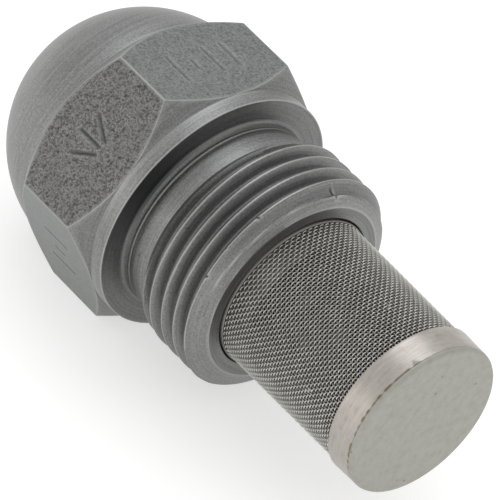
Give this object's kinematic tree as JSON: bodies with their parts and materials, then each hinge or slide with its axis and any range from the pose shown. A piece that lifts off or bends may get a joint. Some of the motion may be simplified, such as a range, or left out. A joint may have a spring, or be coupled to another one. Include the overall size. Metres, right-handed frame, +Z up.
{
  "type": "oil burner nozzle",
  "caption": "Domed hexagonal spray nozzle with a threaded shank, an inner orifice and swirl stack, and a screwed-in woven-wire strainer.",
  "frame": {"origin": "centre of the sealing face at the back of the body, on the nozzle's axis", "axes": "+X along the axis towards the strainer, so the spray leaves towards -X; +Z up, square to a flat of the hexagon; the nozzle lies on the lower flat"},
  "size_m": [0.0328, 0.0184, 0.0158],
  "materials": {
    "body_steel": "turned and lightly blasted, dull grey, oiled",
    "stainless": "finely ground",
    "brass": "turned, bright",
    "dark_brass": "turned, dulled by oil",
    "core_steel": "dark, phosphated",
    "wire_cloth": "plain-woven stainless wire",
    "tinned_ring": "tinned, satin with fine scratches",
    "tinned_disc": "tinned, matt"
  },
  "bodies": {
    "body": {"nozzle_body": "body_steel"},
    "orifice": {"orifice_disc": "stainless"},
    "distributor": {"swirl_distributor": "stainless"},
    "screw": {"retaining_screw": "brass"},
    "strainer": {"strainer_hub": "dark_brass", "strainer_support_core": "core_steel", "strainer_mesh": "wire_cloth", "strainer_cap_ring": "tinned_ring", "strainer_end_disc": "tinned_disc"}
  },
  "joints": [
    {"name": "strainer_out", "type": "slide", "parent": "body", "child": "strainer", "axis": [1, 0, 0], "range_m": [0, 0.033]},
    {"name": "screw_out", "type": "slide", "parent": "body", "child": "screw", "axis": [1, 0, 0], "range_m": [0, 0.0297]},
    {"name": "distributor_out", "type": "slide", "parent": "body", "child": "distributor", "axis": [1, 0, 0], "range_m": [0, 0.02805]},
    {"name": "orifice_out", "type": "slide", "parent": "body", "child": "orifice", "axis": [1, 0, 0], "range_m": [0, 0.02244]}
  ],
  "couplings": [
    {"joint": "screw_out", "follows": "strainer_out", "ratio": 0.9},
    {"joint": "distributor_out", "follows": "strainer_out", "ratio": 0.85},
    {"joint": "orifice_out", "follows": "strainer_out", "ratio": 0.68}
  ]
}
